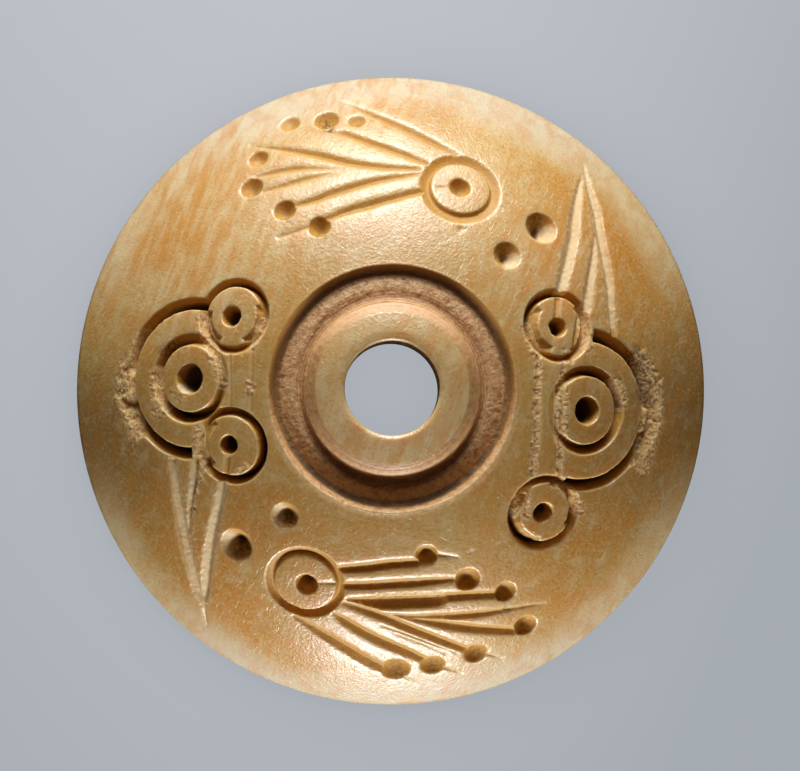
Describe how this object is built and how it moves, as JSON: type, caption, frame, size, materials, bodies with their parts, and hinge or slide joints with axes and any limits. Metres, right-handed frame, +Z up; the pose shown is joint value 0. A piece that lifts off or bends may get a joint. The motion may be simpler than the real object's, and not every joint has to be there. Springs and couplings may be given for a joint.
{
  "type": "spindle whorl",
  "caption": "Small domed bone spindle whorl with a straight bore inside a turned collar and groove, its dome carved with ring-and-dot figures, strokes and drilled dots.",
  "frame": {"origin": "centre of the flat underside, on the bore's axis", "axes": "+Z up along the bore, from the underside to the collar; +Y from the bore to the fan of strokes whose eye ring stands to its right"},
  "size_m": [0.028, 0.028, 0.0084],
  "materials": {
    "bone": "satin"
  },
  "bodies": {
    "root": {"whorl": "bone"}
  },
  "joints": []
}
